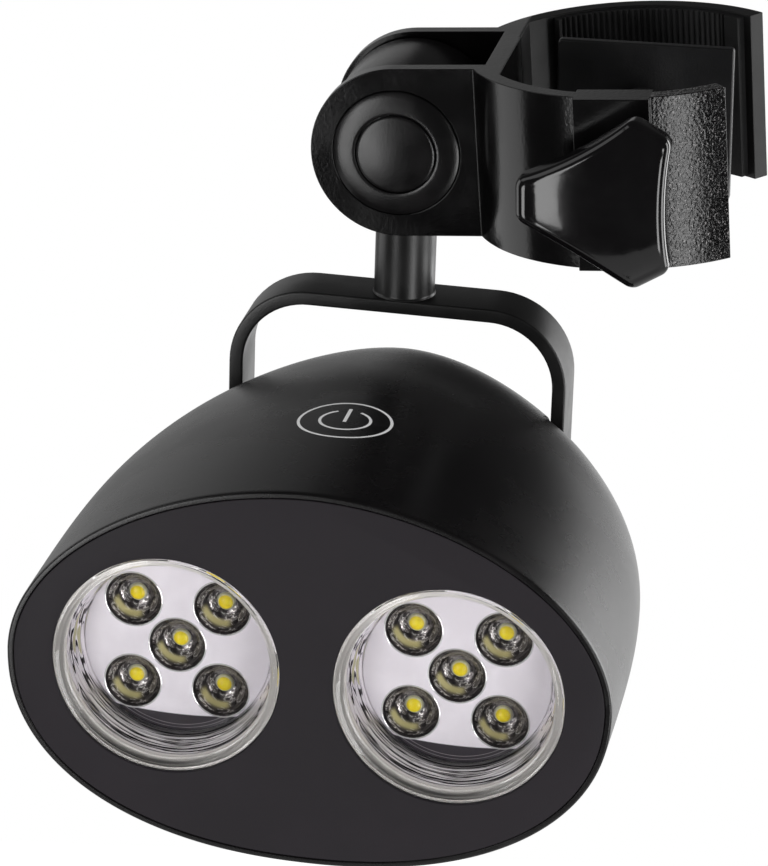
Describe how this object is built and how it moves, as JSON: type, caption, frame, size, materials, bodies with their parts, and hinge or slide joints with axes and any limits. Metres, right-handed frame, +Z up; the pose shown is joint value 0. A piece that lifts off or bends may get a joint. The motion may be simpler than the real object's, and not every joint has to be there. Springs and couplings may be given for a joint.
{
  "type": "patio umbrella light",
  "caption": "Clamp-on battery light for a patio umbrella pole: oval dome head with round recessed lamps, held in a U-shaped yoke under a swivel post and a tilting knuckle.",
  "frame": {"origin": "on the axis of the clamped pole, at half the height of the clamp", "axes": "+Z up along the pole, +X out of the clamp's open mouth, -Y towards the thumb knob, which is the side the lamps face at rest"},
  "size_m": [0.132, 0.1227, 0.1335],
  "materials": {
    "clamp_black": "semi-gloss black with a coarse sparkling grain",
    "plate_black": "satin black moulded plastic",
    "rubber": "dark matt rubber",
    "knob_black": "high-gloss black",
    "steel": "zinc-plated steel",
    "spring_steel": "bright nickel-plated spring steel",
    "disc_black": "satin black",
    "slip_disc": "dark grey low-friction plastic",
    "knuckle_black": "satin black",
    "post_black": "satin black enamel on metal",
    "yoke_black": "satin black enamel on steel strap",
    "head_black": "fine-grained satin black",
    "bezel_black": "matt black",
    "clear": "clear polished plastic",
    "bright": "vacuum-metallised mirror",
    "optic_white": "lilac-white moulded plastic",
    "board_white": "white solder mask",
    "board_green": "green solder mask",
    "led_yellow": "yellow phosphor",
    "chip_black": "dark moulded chips",
    "wire_red": "red wire insulation",
    "brass": "turned brass",
    "copper": "copper foil",
    "cell_skin": "foil-wrapped battery cells",
    "carrier_black": "dark moulded plastic"
  },
  "bodies": {
    "clamp": {"clamp_body": "clamp_black", "jaw_pad": "rubber", "screw_nut": "steel", "pivot_sleeve": "steel", "pivot_screw": "steel", "pivot_disc_front": "disc_black", "pivot_disc_rear": "disc_black", "pivot_cap_front": "disc_black", "pivot_cap_rear": "disc_black", "friction_discs": "slip_disc"},
    "plate": {"pressure_plate": "plate_black", "plate_clip": "spring_steel"},
    "screw": {"clamp_screw": "steel", "thumb_knob": "knob_black"},
    "knuckle": {"knuckle": "knuckle_black", "swivel_washer": "steel", "swivel_bush": "slip_disc"},
    "yoke": {"swivel_post": "post_black", "yoke": "yoke_black", "post_screw": "steel"},
    "head": {"head_housing": "head_black", "front_bezel": "bezel_black", "bezel_gasket": "rubber", "lens_left": "clear", "lens_right": "clear", "reflector_left": "bright", "reflector_right": "bright", "optic_left": "optic_white", "optic_right": "optic_white", "led_board_left": "board_white", "led_board_right": "board_white", "leds_left": "led_yellow", "leds_right": "led_yellow", "board_screws": "steel", "hinge_screws": "steel", "hinge_washers": "slip_disc", "hinge_inserts": "brass", "touch_pad": "copper", "touch_lead": "wire_red", "control_board": "board_green", "control_parts": "chip_black", "control_screws": "steel", "led_leads": "wire_red", "battery_carrier": "carrier_black", "battery_cells": "cell_skin", "battery_springs": "spring_steel", "battery_contacts": "spring_steel", "battery_cap": "head_black", "cap_seal": "rubber"}
  },
  "joints": [
    {"name": "plate_slide", "type": "slide", "parent": "clamp", "child": "plate", "axis": [0, 1, 0], "range_m": [-0.0277, 0.0035]},
    {"name": "screw_spin", "type": "hinge", "parent": "plate", "child": "screw", "pos_m": [0, 0, 0], "axis": [0, 1, 0], "range_deg": [-9990, 1270]},
    {"name": "knuckle_tilt", "type": "hinge", "parent": "clamp", "child": "knuckle", "pos_m": [-0.0455, 0, 0], "axis": [0, 1, 0], "range_deg": [-10.2, 179.8]},
    {"name": "post_swivel", "type": "hinge", "parent": "knuckle", "child": "yoke", "pos_m": [-0.04731, 0, -0.01992], "axis": [0.0906, 0, 0.9959], "continuous": true},
    {"name": "head_tilt", "type": "hinge", "parent": "yoke", "child": "head", "pos_m": [-0.05262, 0, -0.07818], "axis": [0.9959, 0, -0.0906], "range_deg": [-10, 90]}
  ],
  "couplings": [
    {"joint": "screw_spin", "follows": "plate_slide", "rad_per_m": 6283.2}
  ]
}
